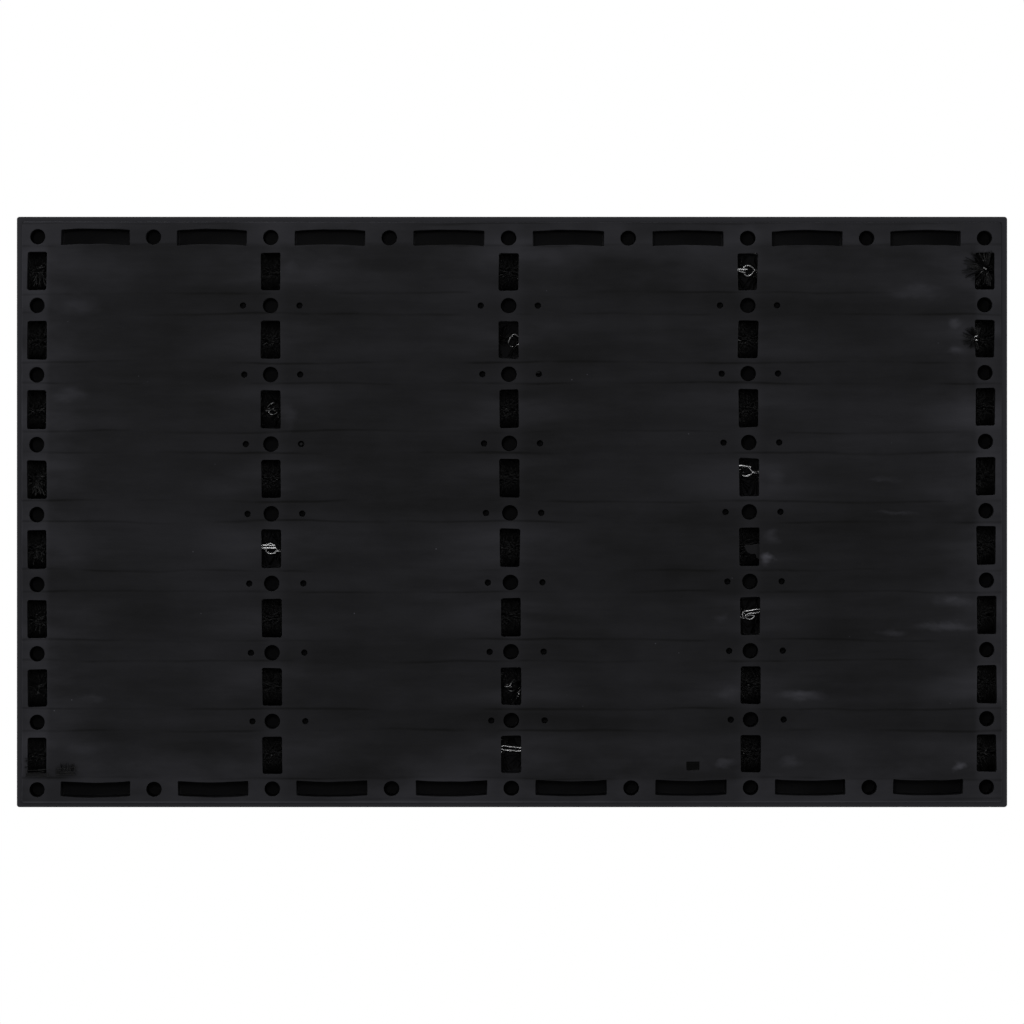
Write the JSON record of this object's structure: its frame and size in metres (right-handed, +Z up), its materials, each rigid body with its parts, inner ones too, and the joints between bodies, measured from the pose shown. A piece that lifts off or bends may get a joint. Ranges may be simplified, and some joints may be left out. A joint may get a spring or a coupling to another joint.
{
  "type": "door mat",
  "caption": "Rectangular black rubber door mat with rows of twisted-in-wire brushes lying in channels between moulded ribs and cross bars.",
  "frame": {"origin": "the middle of the underside, where the mat rests on the floor", "axes": "+X along the length, +Y along the width, +Z up to the walking face"},
  "size_m": [0.75, 0.45, 0.025],
  "materials": {
    "rubber": "matt moulded rubber with faint flow streaks and a dusty bloom",
    "bristle": "stiff black polypropylene bristle with a soft sheen",
    "wire": "galvanised steel wire, slightly dull"
  },
  "bodies": {
    "root": {"rubber_moulding": "rubber", "brush_wire_row1_first": "wire", "bristles_row1_first": "bristle", "brush_wire_row1_second": "wire", "bristles_row1_second": "bristle", "brush_wire_row2_first": "wire", "bristles_row2_first": "bristle", "brush_wire_row2_second": "wire", "bristles_row2_second": "bristle", "brush_wire_row3_first": "wire", "bristles_row3_first": "bristle", "brush_wire_row3_second": "wire", "bristles_row3_second": "bristle", "brush_wire_row4_first": "wire", "bristles_row4_first": "bristle", "brush_wire_row4_second": "wire", "bristles_row4_second": "bristle", "brush_wire_row5_first": "wire", "bristles_row5_first": "bristle", "brush_wire_row5_second": "wire", "bristles_row5_second": "bristle", "brush_wire_row6_first": "wire", "bristles_row6_first": "bristle", "brush_wire_row6_second": "wire", "bristles_row6_second": "bristle", "brush_wire_row7_first": "wire", "bristles_row7_first": "bristle", "brush_wire_row7_second": "wire", "bristles_row7_second": "bristle", "brush_wire_row8_first": "wire", "bristles_row8_first": "bristle", "brush_wire_row8_second": "wire", "bristles_row8_second": "bristle"}
  },
  "joints": []
}
